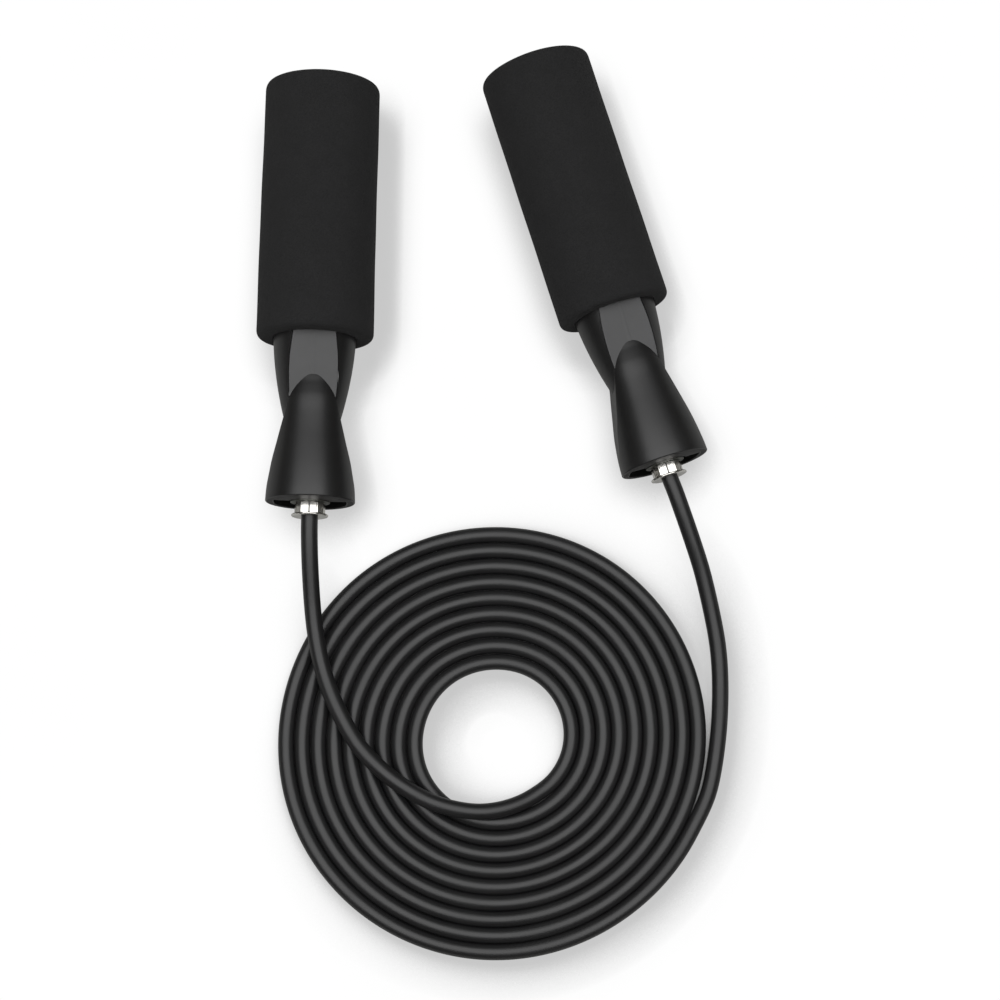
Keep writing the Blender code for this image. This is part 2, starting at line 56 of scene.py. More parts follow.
JOINTS = {joint["name"]: joint for joint in frame["joints"]}
SIDES = ("left", "right")

# the cord's layout is measured from near the middle of the coil; this takes it to the world
SHIFT = np.array([1.6, -75.7, 0.0])

# ---------------------------------------------------------------------------------
# handle sizes; a station is a distance along the axis from the mouth towards the butt
# ---------------------------------------------------------------------------------
SHOULDER = 52.4            # station where the neck meets the foam
ROLL = {"left": 4.2, "right": 5.2}              # degrees about the axis
MOUTH_LEAN = {"left": 0.2, "right": 0.0}        # the left mouth leans a hair sideways
LEAN_FROM, LEAN_LENGTH = 24.0, 20.0             # the lean grows from this station to the mouth

# foam: first station, last station, radius at the neck, radius at the butt
FOAM = {"left": (51.8, 135.2, 18.48, 18.22), "right": (50.6, 135.5, 17.8, 17.8)}
FOAM_PHASE = {"left": 0.4, "right": 2.1}
FOAM_SKIN = 14.5           # only rings wider than this are uneven
CORE_R = 12.4

# (station, radius) of the bell
RIM = -0.35
BELL = (
    (RIM, 14.0), (0, 13.98), (2.4, 13.86), (5, 13.64), (9, 13.2), (13, 12.64), (17, 12.02),
    (21, 11.38), (25, 10.82), (27, 10.58), (32, 10.1), (34.7, 9.55), (36.8, 9.05), (38.4, 8.78),
    (42, 8.0),
)
# (station, distance from the axis) of the flat facets on the bell's two sides
BELL_SIDE = (
    (-1, 14.4), (2.4, 14.1), (6.2, 13.35), (9, 12.8), (11, 12.45), (13, 12.0), (15, 11.48),
    (17, 10.95), (19, 10.46), (21, 9.98), (23, 9.48), (25, 8.98), (27, 8.45), (32.4, 7.2),
    (38.4, 5.5), (42, 4.5),
)
# (station, half width) of the grey panels on the neck's top and bottom
PANEL = (
    (24, 6.1), (28, 6.75), (32, 7.3), (36, 7.62), (40, 7.72), (44, 7.6), (48, 7.2),
    (SHOULDER, 6.65),
)
# the neck narrows from its full radius towards the mouth
NECK_R, NECK_DROP, NECK_POWER = 13.02, 3.9, 1.8
NECK_FROM, NECK_LENGTH = 54.0, 27.0


def monotone_curve(table):
    """A smooth function through a table of (x, y), with no overshoot."""
    x = np.array([point[0] for point in table], float)
    y = np.array([point[1] for point in table], float)
    step = np.diff(x)
    rise = np.diff(y) / step
    slope = np.zeros(len(x))
    for i in range(1, len(x) - 1):
        if rise[i - 1] * rise[i] > 0:
            before, after = 2 * step[i] + step[i - 1], step[i] + 2 * step[i - 1]
            slope[i] = (before + after) / (before / rise[i - 1] + after / rise[i])
    slope[0], slope[-1] = rise[0], rise[-1]

    def curve(at):
        i = int(np.clip(np.searchsorted(x, at) - 1, 0, len(step) - 1))
        t = (at - x[i]) / step[i]
        return float((2 * t ** 3 - 3 * t ** 2 + 1) * y[i]
                     + (t ** 3 - 2 * t ** 2 + t) * step[i] * slope[i]
                     + (3 * t ** 2 - 2 * t ** 3) * y[i + 1]
                     + (t ** 3 - t ** 2) * step[i] * slope[i + 1])
    return curve


bell_radius = monotone_curve(BELL)
bell_side = monotone_curve(BELL_SIDE)
panel_half_width = monotone_curve(PANEL)


def neck_radius(station):
    along = max(0.0, (NECK_FROM - station) / NECK_LENGTH)
    return NECK_R - NECK_DROP * along ** NECK_POWER


def panel_height(station):
    return math.sqrt(neck_radius(station) ** 2 - panel_half_width(station) ** 2)


def smoothstep(t):
    return t * t * (3 - 2 * t)


# ---------------------------------------------------------------------------------
# meshes
# ---------------------------------------------------------------------------------
def make_mesh(name, verts, faces, smooth, uvs=None):
    """An object whose edges sharper than `smooth` degrees stay sharp."""
    mesh = bpy.data.meshes.new(name)
    mesh.from_pydata([tuple(vert) for vert in verts], [], faces)
    if uvs is not None:
        layer = mesh.uv_layers.new(name="UVMap")
        loops = np.zeros(len(mesh.loops), np.int32)
        mesh.loops.foreach_get("vertex_index", loops)
        layer.data.foreach_set("uv", np.asarray(uvs, np.float32)[loops].ravel())
    bm = bmesh.new()
    bm.from_mesh(mesh)
    bmesh.ops.recalc_face_normals(bm, faces=bm.faces)
    bm.to_mesh(mesh)
    bm.free()
    mesh.shade_smooth()
    mesh.set_sharp_from_angle(angle=math.radians(smooth))
    obj = bpy.data.objects.new(name, mesh)
    bpy.context.scene.collection.objects.link(obj)
    return obj


def ring_faces(rows, cols, close_rows=False, start=0):
    """Quads over rows of closed rings; close_rows joins the last ring to the first."""
    faces = []
    for i in range(rows if close_rows else rows - 1):
        here, there = start + i * cols, start + ((i + 1) % rows) * cols
        for j in range(cols):
            k = (j + 1) % cols
            faces.append((here + j, here + k, there + k, there + j))
    return faces


def capped_faces(rows, cols, start=0):
    """Quads over rows of closed rings, with a cap on each end."""
    last = start + (rows - 1) * cols
    return ring_faces(rows, cols, start=start) + [
        tuple(range(start, start + cols))[::-1], tuple(range(last, last + cols))]


def handle_matrix(side):
    """Local z to the handle's axis, local x sideways, local -y upwards."""
    joint = JOINTS[side + "_spin"]
    axis = Vector(joint["axis"])
    turn = Matrix.Rotation(math.atan2(-axis.x, axis.y), 4, "Z")
    lay = Matrix.Rotation(math.radians(-90), 4, "X")
    roll = Matrix.Rotation(math.radians(ROLL[side]), 4, "Z")
    return Matrix.Translation(Vector(joint["pos_m"])) @ turn @ lay @ roll


HANDLE = {side: np.array(handle_matrix(side), float) for side in SIDES}


def in_handle(side, x, up, station):
    """World points from handle coordinates: sideways, upwards, along the axis."""
    matrix = HANDLE[side]
    near_mouth = np.clip((LEAN_FROM - np.asarray(station, float)) / LEAN_LENGTH, 0, 1)
    x = x + MOUTH_LEAN[side] * smoothstep(near_mouth)
    local = np.stack(np.broadcast_arrays(x, -np.asarray(up, float), station), -1)
    return local.reshape(-1, 3) * MM @ matrix[:3, :3].T + matrix[:3, 3]


def polar_ring(side, radius, theta, station):
    return in_handle(side, radius * np.cos(theta), radius * np.sin(theta), station)


def polar_mesh(name, side, profile, theta, smooth):
    """A closed loop of (radius, station); a radius may be an array with a value per angle."""
    rings = [polar_ring(side, radius, theta, station) for radius, station in profile]
    faces = ring_faces(len(rings), len(theta), close_rows=True)
    return make_mesh(name, np.concatenate(rings), faces, smooth)


def revolve(name, side, profile, cols, wobble=None, smooth=35.0):
    """A closed profile loop of (radius, station) turned round the handle's axis."""
    theta = np.linspace(0, 2 * math.pi, cols, endpoint=False)
    if wobble:
        profile = [(r + wobble(theta, station, r), station) for r, station in profile]
    return polar_mesh(name, side, profile, theta, smooth)


def fillet(points, corners, steps):
    """A closed loop of (radius, station) with corners rounded, by one radius or one for each."""
    out = []
    count = len(points)
    for i, corner in enumerate(np.broadcast_to(corners, count)):
        point = np.array(points[i], float)
        if corner <= 0:
            out.append(tuple(point))
            continue
        back = np.array(points[i - 1], float) - point
        ahead = np.array(points[(i + 1) % count], float) - point
        back_length, ahead_length = np.linalg.norm(back), np.linalg.norm(ahead)
        back, ahead = back / back_length, ahead / ahead_length
        half = math.acos(float(np.clip(back @ ahead, -0.9999, 0.9999))) / 2
        cut = min(corner / math.tan(half), 0.45 * back_length, 0.45 * ahead_length)
        for k in range(steps + 1):
            t = k / steps
            out.append(tuple((1 - t) ** 2 * (point + back * cut) + 2 * t * (1 - t) * point
                             + t * t * (point + ahead * cut)))
    return out


def dense(profile, step):
    """The same loop with long runs divided, so that it shades evenly."""
    out = []
    for i, point in enumerate(profile):
        here, there = np.array(point, float), np.array(profile[(i + 1) % len(profile)], float)
        parts = max(1, int(np.linalg.norm(there - here) / step))
        out += [tuple(here + (there - here) * j / parts) for j in range(parts)]
    return out


# ---------------------------------------------------------------------------------
# materials; bump distances are in metres
# ---------------------------------------------------------------------------------
def plug(socket, value):
    """Link an input socket to an output, or give it a plain value."""
    if isinstance(value, bpy.types.NodeSocket):
        socket.id_data.links.new(value, socket)
    else:
        socket.default_value = value


class Graph:
    """Short hands for building a node tree."""

    def __init__(self, tree):
        self.tree = tree
        self.coords = self.node("TexCoord")

    def node(self, kind, indexed=None, **values):
        """A new node; values go to sockets by name (_ for a space) or else to attributes."""
        made = self.tree.nodes.new("ShaderNode" + kind)
        for key, value in values.items():
            socket = key.replace("_", " ")
            if socket in made.inputs:
                plug(made.inputs[socket], value)
            else:
                setattr(made, key, value)
        for index, value in (indexed or {}).items():
            plug(made.inputs[index], value)
        return made

    def surface(self, **values):
        shader = self.tree.nodes["Principled BSDF"]
        for key, value in values.items():
            plug(shader.inputs[key.replace("_", " ")], value)

    def noise(self, scale, detail=3.0, rough=0.5, vector=None):
        return self.node("TexNoise", Scale=scale, Detail=detail, Roughness=rough,
                         Vector=vector or self.coords.outputs["Object"]).outputs["Fac"]

    def cells(self, scale):
        """Distance to the nearest of scattered points."""
        return self.node("TexVoronoi", Scale=scale, feature="F1",
                         Vector=self.coords.outputs["Object"]).outputs["Distance"]

    def ramp(self, fac, low, high, at=(0.3, 0.7), curve="LINEAR"):
        """Take the range `at` to low..high."""
        return self.node("MapRange", interpolation_type=curve, From_Min=at[0], From_Max=at[1],
                         To_Min=low, To_Max=high, Value=fac).outputs["Result"]

    def tint(self, fac, low, high):
        """Mix two colours."""
        indexed = {0: fac, 6: (*low, 1.0), 7: (*high, 1.0)}
        return self.node("Mix", indexed, data_type="RGBA").outputs[2]

    def combine(self, operation, first, second):
        return self.node("Math", {0: first, 1: second}, operation=operation).outputs["Value"]

    def bump(self, height, distance, strength, before=None):
        made = self.node("Bump", Strength=strength, Distance=distance, Height=height)
        if before is not None:
            plug(made.inputs["Normal"], before)
        return made.outputs["Normal"]

    def split_camera(self, unseen, seen):
        """One shader for the camera's own rays and another for all the rest."""
        camera_ray = self.node("LightPath").outputs["Is Camera Ray"]
        return self.node("MixShader", {0: camera_ray, 1: unseen, 2: seen}).outputs["Shader"]


def new_material(name):
    material = bpy.data.materials.new(name)
    material.use_nodes = True
    return material, Graph(material.node_tree)


def cord_material():
    material, graph = new_material("cord_pvc")
    cloud = graph.noise(scale=55.0, detail=3.0, rough=0.55)
    grain = graph.noise(scale=2600.0, detail=2.0, rough=0.5)
    # extrusion lines: fine across the cord, long along it
    along = graph.node("Mapping", Scale=(34.0, 0.055, 1.0), Vector=graph.coords.outputs["UV"])
    streaks = graph.noise(scale=1.0, detail=4.0, rough=0.6, vector=along.outputs["Vector"])
    normal = graph.bump(graph.ramp(streaks, low=0, high=1, at=(0.2, 0.8)),
                        distance=0.00003, strength=0.55)
    graph.surface(
        Base_Color=graph.tint(graph.ramp(cloud, low=0, high=1),
                              low=(0.0105, 0.0105, 0.011), high=(0.014, 0.014, 0.0145)),
        Roughness=graph.ramp(cloud, low=0.34, high=0.44),
        Normal=graph.bump(grain, distance=0.000012, strength=0.4, before=normal),
        IOR=1.5, Specular_IOR_Level=0.5, Coat_Weight=0.12, Coat_Roughness=0.22)
    return material


def foam_material():
    material, graph = new_material("nbr_foam")
    fine_cells = graph.cells(scale=3300.0)
    coarse_cells = graph.cells(scale=1500.0)
    cloud = graph.noise(scale=140.0, detail=4.0, rough=0.6)
    grain = graph.noise(scale=1900.0, detail=3.0, rough=0.65)
    fine_pits = graph.ramp(fine_cells, low=0.0, high=1.0, at=(0.05, 0.5))
    coarse_pits = graph.ramp(coarse_cells, low=0.0, high=1.0, at=(0.02, 0.35))
    # painted shade: the foam's colour darkens in its pits, where fine_pits also sinks the bump;
    # the grain and the cloud vary the tone at random
    shade = graph.combine("MULTIPLY", graph.ramp(grain, low=0.55, high=1.0, at=(0.3, 0.75)),
                          fine_pits)
    shade = graph.combine("MULTIPLY", shade, graph.ramp(cloud, low=0.82, high=1.0))
    normal = graph.bump(coarse_pits, distance=0.00012, strength=0.5)
    normal = graph.bump(fine_pits, distance=0.00007, strength=0.7, before=normal)
    graph.surface(
        Base_Color=graph.tint(shade, low=(0.009, 0.009, 0.0093), high=(0.0275, 0.0275, 0.028)),
        Roughness=graph.ramp(grain, low=0.86, high=1.0),
        Normal=graph.bump(grain, distance=0.00009, strength=0.6, before=normal),
        Specular_IOR_Level=0.14, Sheen_Weight=0.03, Sheen_Roughness=0.6)
    return material


def moulded_material(name, low, high, rough=(0.38, 0.46), ior=1.5):
    """Plastic between two colours and two roughnesses."""
    material, graph = new_material(name)
    cloud = graph.noise(scale=70.0, detail=3.0, rough=0.55)
    skin = graph.noise(scale=4200.0, detail=2.0, rough=0.6)
    flow = graph.noise(scale=18.0, detail=2.0, rough=0.5)
    uneven = graph.combine("ADD", graph.combine("MULTIPLY", skin, 0.6),
                           graph.combine("MULTIPLY", flow, 0.4))
    graph.surface(
        Base_Color=graph.tint(graph.ramp(cloud, low=0, high=1), low, high),
        Roughness=graph.ramp(uneven, *rough),
        Normal=graph.bump(skin, distance=0.00002, strength=0.55),
        IOR=ior)
    return material


def metal_material(name, low, high, rough=(0.12, 0.2)):
    """Metal between two colours and two roughnesses."""
    material, graph = new_material(name)
    stain = graph.noise(scale=420.0, detail=4.0, rough=0.6)
    scratches = graph.noise(scale=900.0, detail=3.0, rough=0.6)
    graph.surface(
        Base_Color=graph.tint(graph.ramp(stain, low=0, high=1), low, high),
        Roughness=graph.ramp(scratches, *rough),
        Normal=graph.bump(scratches, distance=0.000004, strength=0.35),
        Metallic=1.0)
    return material


MAT = {
    "cord": cord_material(),
    "foam": foam_material(),
    "shell": moulded_material("shell_black", low=(0.0078, 0.0078, 0.008),
                              high=(0.0105, 0.0105, 0.0108), rough=(0.33, 0.41), ior=1.56),
    "core": moulded_material("core_grey", low=(0.0445, 0.0448, 0.0457),
                             high=(0.055, 0.0553, 0.0566), rough=(0.42, 0.52)),
    "carrier": moulded_material("carrier_black", low=(0.017, 0.017, 0.0172),
                                high=(0.022, 0.022, 0.0225), rough=(0.5, 0.6), ior=1.46),
    "rim": moulded_material("rim_black", low=(0.0085, 0.0085, 0.0087),
                            high=(0.0112, 0.0112, 0.0115), rough=(0.52, 0.62), ior=1.42),
    # painted shade: the bell's inside and the bearing pocket are coloured much darker than the
    # shell, for the shade within the mouth
    "inside": moulded_material("shell_inside_painted_shade", low=(0.0034, 0.0034, 0.003),
                               high=(0.0048, 0.0048, 0.0043), rough=(0.75, 0.85), ior=1.2),
    "plug": moulded_material("plug_black", low=(0.013, 0.013, 0.0135),
                             high=(0.018, 0.018, 0.0185)),
    "nickel": metal_material("nickel", low=(0.9, 0.88, 0.83), high=(0.97, 0.955, 0.92)),
    # painted shade: the spacer sleeve's metal is coloured dark for the shade it sits in between
    # the shelf and the collar
    "zinc": metal_material("zinc", low=(0.085, 0.088, 0.08), high=(0.16, 0.165, 0.15),
                           rough=(0.34, 0.5)),
    "bearing": metal_material("bearing_steel", low=(0.5, 0.5, 0.51), high=(0.6, 0.6, 0.61),
                              rough=(0.2, 0.3)),
    "ball": metal_material("ball_steel", low=(0.72, 0.72, 0.73), high=(0.8, 0.8, 0.81),
                           rough=(0.05, 0.1)),
    "cage": moulded_material("cage_nylon", low=(0.5, 0.45, 0.35), high=(0.58, 0.53, 0.43),
                             rough=(0.5, 0.6)),
    "washer": metal_material("washer_steel", low=(0.5, 0.5, 0.5), high=(0.62, 0.62, 0.62),
                             rough=(0.28, 0.4)),
    "spring": metal_material("spring_steel", low=(0.2, 0.2, 0.22), high=(0.3, 0.3, 0.32),
                             rough=(0.3, 0.42)),
    "crimp": metal_material("crimp_aluminium", low=(0.62, 0.62, 0.64), high=(0.72, 0.72, 0.74),
                            rough=(0.3, 0.4)),
}


def finish_piece(obj, material, slot, body, *nodes):
    """Give a piece its material, the body it rides on and the CAD nodes it replaces."""
    obj.data.materials.append(MAT[material])
    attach(obj, body)
    if nodes:
        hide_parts(*nodes)


# ---------------------------------------------------------------------------------
# cord
# ---------------------------------------------------------------------------------
CORD_R = 2.497
TAIL_R = 2.63
TAIL_FULL, TAIL_BLEND = 90.0, 60.0     # full tail radius up to here from an end, then slimming
CORD_SIDES = 24
SPLINE_STEPS = 10
PATH_STEP = 1.0
PATH_SIGMA = 2.2                       # smoothing, in path points
COIL_CUT = 17                          # path points from a swing joint to the coil piece's end

SPINDLE_STATIONS = (24.0, 16.0, 8.0, 0.0, -5.2)    # the cord's straight run, from its stop out
# (x, y, z) of the cord's centre in the layout
RIGHT_TAIL = (                         # from the handle to the coil's outside
    (54.6, 78.7, 17.75), (57.1, 72.0, 16.4), (61.1, 61.2, 12.9), (64.4, 51.5, 9.4),
    (67.6, 38.4, 5.8), (69.3, 28.8, 4.0), (69.9, 19.2, 2.9), (69.7, 9.2, 2.5),
    (68.9, 0.1, 2.45), (67.2, -10.5, 2.45), (64.8, -18.9, 2.45),
)
LEFT_TAIL = (                          # from the coil's inside, over the coil, to the handle
    (9.9, -18.2, 3.6), (5.3, -20.3, 4.8), (0.4, -21.7, 5.8), (-5.8, -22.4, 6.8),
    (-11.1, -21.85, 7.35), (-15.3, -21.0, 7.5), (-21.5, -18.9, 7.5), (-28.2, -15.2, 7.5),
    (-34.9, -10.4, 7.5), (-42.4, -3.0, 7.5), (-47.4, 4.8, 7.5), (-51.6, 13.4, 7.7),
    (-54.7, 22.4, 8.1), (-56.65, 31.7, 9.1), (-57.7, 41.0, 11.2), (-58.3, 52.5, 14.9),
    (-58.45, 60.0, 17.2), (-58.5, 66.0, 18.3),
)
TURN_START, TURN_END = 29.0 / 360.0, 9.0 + 44.0 / 360.0
TURN_STEP = 1 / 240
COIL_CENTRE = (-0.51, 1.34)
COIL_DRIFT = (0.042, -0.06)            # movement of the centre in each turn
COIL_R, COIL_PITCH = 67.86, 4.985
COIL_OVAL = (0.295, -0.378)            # cosine and sine parts
COIL_WAVES = ((0.07, 3, 1.3), (0.05, 5, 0.4))      # size, waves in a turn, phase
COIL_LIFT = 0.05                       # mean gap under the cord
COIL_HEAVE = (0.05, 2.7, 0.6)          # rise and fall: size, waves in a turn, phase


def coil_point(turn):
    """A point of the coil, which winds clockwise and inwards as seen from above."""
    angle = 2 * math.pi * turn
    radius = COIL_R - COIL_PITCH * turn
    radius += COIL_OVAL[0] * math.cos(2 * angle) + COIL_OVAL[1] * math.sin(2 * angle)
    radius += sum(size * math.sin(waves * angle + phase) for size, waves, phase in COIL_WAVES)
    size, waves, phase = COIL_HEAVE
    return (COIL_CENTRE[0] + COIL_DRIFT[0] * turn + radius * math.cos(angle),
            COIL_CENTRE[1] + COIL_DRIFT[1] * turn - radius * math.sin(angle),
            CORD_R + COIL_LIFT + size * math.sin(waves * angle + phase))


def spline(points):
    """A Catmull-Rom curve through the points."""
    points = np.array(points, float)
    points = np.vstack([2 * points[0] - points[1], points, 2 * points[-1] - points[-2]])
    out = []
    for i in range(1, len(points) - 2):
        before, here, after, beyond = points[i - 1:i + 3]
        for k in range(SPLINE_STEPS):
            t = k / SPLINE_STEPS
            out.append(0.5 * (2 * here + (after - before) * t
                              + (2 * before - 5 * here + 4 * after - beyond) * t * t
                              + (3 * here - before - 3 * after + beyond) * t ** 3))
    out.append(points[-2])
    return np.array(out)


def lengths_along(points):
    return np.concatenate([[0], np.cumsum(np.linalg.norm(np.diff(points, axis=0), axis=1))])


def resample(points, step):
    length = lengths_along(points)
    at = np.linspace(0, length[-1], int(length[-1] / step) + 1)
    return np.stack([np.interp(at, length, points[:, k]) for k in range(3)], 1)


def smoothed(points, sigma):
    """Gaussian smoothing along a path of evenly spaced points; the ends keep their place."""
    reach = int(4 * sigma)
    kernel = np.exp(-0.5 * (np.arange(-reach, reach + 1) / sigma) ** 2)
    kernel /= kernel.sum()
    first = 2 * points[0] - points[1:reach + 1][::-1]
    last = 2 * points[-1] - points[-reach - 1:-1][::-1]
    padded = np.vstack([first, points, last])
    return np.stack([np.convolve(padded[:, k], kernel, "valid") for k in range(3)], 1)


def spindle_run(side):
    """Layout points of the cord inside the spindle, from its stop to just outside the mouth."""
    return list(in_handle(side, 0.0, 0.0, np.array(SPINDLE_STATIONS)) / MM - SHIFT)


def cord_path():
    """The cord's centre line in world millimetres, from the right stop to the left one."""
    coil = [coil_point(turn) for turn in np.arange(TURN_START, TURN_END, TURN_STEP)]
    # each tail's curve runs on through two points of the coil, and that overlap is cut off
    overlap = SPLINE_STEPS + 2
    right = spline(spindle_run("right") + list(RIGHT_TAIL) + coil[:2])[:-overlap]
    left = spline(coil[-2:] + list(LEFT_TAIL) + spindle_run("left")[::-1])[overlap:]
    path = resample(np.vstack([right, np.array(coil), left]), PATH_STEP)
    return smoothed(path, PATH_SIGMA) + SHIFT


PATH = cord_path()
LENGTH = lengths_along(PATH)
# pressed against its neighbours in the coil, the cord is a little slimmer than in the free tails
FROM_END = np.minimum(LENGTH, LENGTH[-1] - LENGTH)
TAIL_SHARE = np.clip((TAIL_FULL + TAIL_BLEND - FROM_END) / TAIL_BLEND, 0, 1)
RADIUS = CORD_R + (TAIL_R - CORD_R) * TAIL_SHARE


def nearest_to_joint(name, low=0, high=None):
    """Index of the path point nearest to a joint."""
    place = np.array(JOINTS[name]["pos_m"], float) / MM
    return int(np.argmin(np.linalg.norm(PATH[low:high] - place, axis=1))) + low


def cord_piece(name, first, last):
    """A tube along part of the path, closed by a flat cap at each end."""
    part = slice(first, last + 1)
    tangent = np.gradient(PATH, axis=0)[part]
    tangent /= np.linalg.norm(tangent, axis=1)[:, None]
    across = np.cross(np.array([0, 0, 1.0]), tangent)
    across /= np.linalg.norm(across, axis=1)[:, None]
    up = np.cross(tangent, across)
    angle = np.linspace(0, 2 * math.pi, CORD_SIDES, endpoint=False)
    rings = PATH[part][:, None, :] + RADIUS[part][:, None, None] * (
        np.cos(angle)[None, :, None] * across[:, None, :]
        + np.sin(angle)[None, :, None] * up[:, None, :])
    uvs = np.stack(np.broadcast_arrays(np.sin(angle / 2)[None, :], LENGTH[part][:, None]), -1)
    obj = make_mesh(name + "_fine", rings.reshape(-1, 3) * MM,
                    capped_faces(len(rings), CORD_SIDES), 40.0, uvs.reshape(-1, 2))
    obj.data.materials.append(MAT["cord"])
    return obj


def build_cord():
    middle = len(PATH) // 2
    right_lift = nearest_to_joint("right_lift", 0, middle)
    right_swing = nearest_to_joint("right_swing", 0, middle)
    left_swing = nearest_to_joint("left_swing", middle)
    left_lift = nearest_to_joint("left_lift", middle)
    right_mid = (right_lift + right_swing) // 2
    left_mid = (left_lift + left_swing) // 2
    right_cut, left_cut = right_swing + COIL_CUT, left_swing - COIL_CUT

    coil = cord_piece("cord_coil", right_cut, left_cut)
    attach(coil, "cord")
    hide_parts("cord_coil")

    # name, first and last path point, joint's path point, body before it, body after it
    spans = (
        ("cord_right_bend", right_mid, right_cut, right_swing, "right_bend", "cord"),
        ("cord_right_tail", 0, right_mid, right_lift, "right_tail", "right_bend"),
        ("cord_left_bend", left_cut, left_mid, left_swing, "cord", "left_bend"),
        ("cord_left_tail", left_mid, len(PATH) - 1, left_lift, "left_bend", "left_tail"),
    )
    for name, first, last, pivot, body_before, body_after in spans:
        piece = cord_piece(name, first, last)
        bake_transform(piece)
        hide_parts(name)


build_cord()


# ---------------------------------------------------------------------------------
# foam sleeve and grey core
# ---------------------------------------------------------------------------------
def foam_wobble(side):
    """Slight unevenness of the foam's outside."""
    phase = FOAM_PHASE[side]

    def wobble(theta, station, radius):
        if radius < FOAM_SKIN:
            return 0.0
        return (0.05 * np.sin(3 * theta + 0.05 * station + phase)
                + 0.04 * np.sin(5 * theta - 0.09 * station)
                + 0.03 * np.sin(0.23 * station + phase + theta))
    return wobble


def build_foam(side):
    bore = CORE_R + 0.06
    start, end, neck_end_r, butt_r = FOAM[side]
    lip = neck_radius(SHOULDER) + 0.05
    seat = SHOULDER + 0.1
    loop = fillet([(butt_r, end), (neck_end_r, start), (lip, start), (lip, seat), (bore, seat),
                   (bore, end)], corners=[3.0, 3.1, 0.45, 0, 0, 0.8], steps=9)
    obj = revolve(side + "_foam_sleeve", side, dense(loop, 0.9), 160, foam_wobble(side), 60.0)
    finish_piece(obj, "foam", "foam", side + "_handle", side + "_foam_grip")


SLAB_START = 28.5
SLAB_INSET = 0.07          # the slab is narrower than the panel's half width by this
SLAB_CORNER = 0.22
SLAB_FLAT_STEPS, SLAB_CORNER_STEPS = 48, 5
RIDGE_HEIGHT, RIDGE_SPREAD = 0.05, 0.28    # the fine line down the middle of each panel
# (radius, station) of the round part: its outside to the butt, then back up its bore
CORE_TUBE = (
    (CORE_R - 0.15, SHOULDER - 0.05), (CORE_R, SHOULDER + 0.2), (CORE_R, 90.0), (CORE_R, 133.0),
    (10.4, 133.0), (10.4, 60.0), (4.6, 54.0), (4.6, SLAB_START),
)


def rounded_rectangle(half_width, half_height, corner):
    """Points round a rectangle with rounded corners, the same count for any size."""
    points = []
    x, y = half_width - corner, half_height - corner
    centres = [np.array(centre) for centre in ((x, y), (-x, y), (-x, -y), (x, -y))]
    for k, centre in enumerate(centres):
        for j in range(SLAB_CORNER_STEPS + 1):
            angle = math.radians(90 * k + 90 * j / SLAB_CORNER_STEPS)
            arm = corner * np.array([math.cos(angle), math.sin(angle)])
            points.append(centre + arm)
        start, stop = centre + arm, centres[(k + 1) % 4] + arm
        for j in range(1, SLAB_FLAT_STEPS):
            points.append(start + (stop - start) * j / SLAB_FLAT_STEPS)
    return np.array(points)


def build_core(side):
    """Grey core: the neck's slab with its flat top and bottom, then the tube in the foam."""
    rings = []
    for station in [*np.linspace(SLAB_START, 51.9, 60), SHOULDER - 0.05]:
        height = panel_height(station)
        points = rounded_rectangle(panel_half_width(station) - SLAB_INSET, height, SLAB_CORNER)
        on_panel = np.abs(points[:, 1]) > height * 0.9
        ridge = np.exp(-(points[:, 0] / RIDGE_SPREAD) ** 2) * RIDGE_HEIGHT * on_panel
        points[:, 1] += np.sign(points[:, 1]) * ridge
        rings.append(in_handle(side, points[:, 0], points[:, 1], station))
    # the tube's rings keep the angles of the slab's last outline
    theta = np.arctan2(points[:, 1], points[:, 0])
    rings += [polar_ring(side, radius, theta, station) for radius, station in CORE_TUBE]
    obj = make_mesh(side + "_core_fine", np.concatenate(rings),
                    ring_faces(len(rings), len(points), close_rows=True), 28.0)
    finish_piece(obj, "core", "core_grey", side + "_handle", side + "_handle_core")


# ---------------------------------------------------------------------------------
# black nose
# ---------------------------------------------------------------------------------
BELL_COLS = 192
FACET_BLEND = 0.1          # softness of the crease between facet and round
RIM_ROUND = 0.42
RIM_STEPS = 5
LIP_CUT = 1.3              # the lip of the mouth is thinner below, where the windows are
# (radius, station) of the bell's inside, from its closed end out to the rim
BELL_INSIDE = (
    (6.0, 41.0), (3.4, 41.0), (3.4, 28.0), (5.3, 27.0), (7.4, 22.0), (9.3, 14.0), (10.3, 10.6),
    (10.3, 3.05), (11.2, 3.0), (11.3, 2.8), (11.35, 0.0), (11.45, -0.25), (11.7, RIM),
)
BEAD_R = 0.15
BEAD_SINK = 0.03
BEAD_SIDES = 10
BEAD_END = 31.4            # station where the beads stop, on top and below
WING_GAP = 0.05            # the wing stands off the panel's half width by this
WING_ARC, WING_CHORD = 40, 10      # points on its round outside and its flat inside


def bell_row(station):
    """Radius and angle of the bell's outside at a station, with vertices on its creases."""
    radius, side_x = bell_radius(station), bell_side(station)
    crease = max(math.acos(min(1.0, side_x / radius)), math.radians(4.0))
    quarter = BELL_COLS // 4
    flat_count = quarter // 3
    flat = crease * np.linspace(0, 1, flat_count, endpoint=False)
    t = np.linspace(0, 1, quarter - flat_count, endpoint=False)
    first = np.concatenate([flat, crease + (math.pi / 2 - crease) * t ** 1.25])
    second = np.concatenate([[math.pi / 2], (math.pi - first[::-1])[:-1]])
    half = np.concatenate([first, second])
    theta = np.concatenate([half, half + math.pi])
    facet = side_x / np.maximum(np.abs(np.cos(theta)), 1e-6)
    # the smaller of the two radii, with a soft change from one to the other
    share = np.clip(0.5 + 0.5 * (facet - radius) / FACET_BLEND, 0, 1)
    row = facet * (1 - share) + radius * share - FACET_BLEND * share * (1 - share)
    return row, theta


